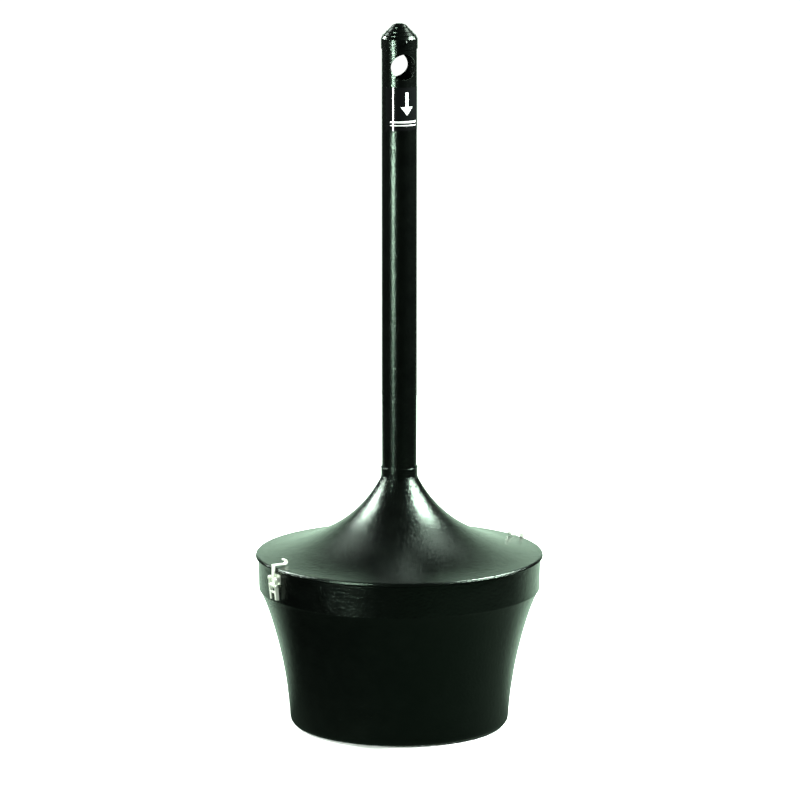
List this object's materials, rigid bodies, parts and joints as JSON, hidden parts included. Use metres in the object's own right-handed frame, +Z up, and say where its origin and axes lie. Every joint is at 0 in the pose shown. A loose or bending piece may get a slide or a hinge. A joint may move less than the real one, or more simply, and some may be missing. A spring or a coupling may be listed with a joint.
{
  "type": "smokers receptacle",
  "caption": "Floor-standing smokers' receptacle: flared bowl with inner pail, latched lift-off trumpet lid and a hollow post with a cross hole under a stepped cap.",
  "frame": {"origin": "centre of the bowl's underside, on the floor", "axes": "+Z up along the axis of the post; the cross hole runs along Y, its mouth nearest the pictured side faces -Y; latches at 192.6 and 12.6 degrees about Z"},
  "size_m": [0.425, 0.4206, 1.0295],
  "materials": {
    "black_coat": "satin textured powder coat",
    "black_screw": "satin",
    "label_film": "gloss",
    "gasket_rubber": "matt",
    "zinc_plate": "satin zinc plate",
    "galvanised": "spangled zinc"
  },
  "bodies": {
    "base": {"base_bowl": "black_coat", "latch_left_bracket": "zinc_plate", "latch_left_rivets": "zinc_plate", "latch_left_pivots": "zinc_plate", "latch_right_bracket": "zinc_plate", "latch_right_rivets": "zinc_plate", "latch_right_pivots": "zinc_plate"},
    "lid": {"lid_bell": "black_coat", "lid_gasket": "gasket_rubber", "lid_locating_ring": "black_coat", "neck_collar": "black_coat", "drop_tube": "black_coat", "top_cap": "black_coat", "cap_screws": "black_screw", "label": "label_film"},
    "pail_body": {"pail": "galvanised", "pail_ears": "galvanised", "pail_ear_rivets": "galvanised"},
    "bail": {"pail_bail": "galvanised"},
    "lever_left": {"latch_left_lever": "zinc_plate", "latch_left_link_pin": "zinc_plate"},
    "lever_right": {"latch_right_lever": "zinc_plate", "latch_right_link_pin": "zinc_plate"},
    "claw_left": {"latch_left_claw": "zinc_plate"},
    "claw_right": {"latch_right_claw": "zinc_plate"}
  },
  "joints": [
    {"name": "lid_lift", "type": "slide", "parent": "base", "child": "lid", "axis": [0, 0, 1], "range_m": [0, 0.02]},
    {"name": "pail_lift", "type": "slide", "parent": "base", "child": "pail_body", "axis": [0, 0, 1], "range_m": [0, 0.02]},
    {"name": "bail_swing", "type": "hinge", "parent": "pail_body", "child": "bail", "pos_m": [0, 0, 0.128], "axis": [1, 0, 0], "range_deg": [0, 228]},
    {"name": "lever_left_swing", "type": "hinge", "parent": "base", "child": "lever_left", "pos_m": [-0.20672, -0.04621, 0.2384], "axis": [-0.2181, 0.9759, 0], "range_deg": [0, 45.5]},
    {"name": "claw_left_swing", "type": "hinge", "parent": "lever_left", "child": "claw_left", "pos_m": [-0.20672, -0.04621, 0.229], "axis": [0.2181, -0.9759, 0], "range_deg": [0, 150.5]},
    {"name": "lever_right_swing", "type": "hinge", "parent": "base", "child": "lever_right", "pos_m": [0.20672, 0.04621, 0.2384], "axis": [0.2181, -0.9759, 0], "range_deg": [0, 45.5]},
    {"name": "claw_right_swing", "type": "hinge", "parent": "lever_right", "child": "claw_right", "pos_m": [0.20672, 0.04621, 0.229], "axis": [-0.2181, 0.9759, 0], "range_deg": [0, 150.5]}
  ],
  "couplings": [
    {"joint": "lever_left_swing", "follows": "lid_lift", "rad_per_m": 39.27},
    {"joint": "claw_left_swing", "follows": "lid_lift", "rad_per_m": 130.9},
    {"joint": "lever_right_swing", "follows": "lid_lift", "rad_per_m": 39.27},
    {"joint": "claw_right_swing", "follows": "lid_lift", "rad_per_m": 130.9}
  ]
}
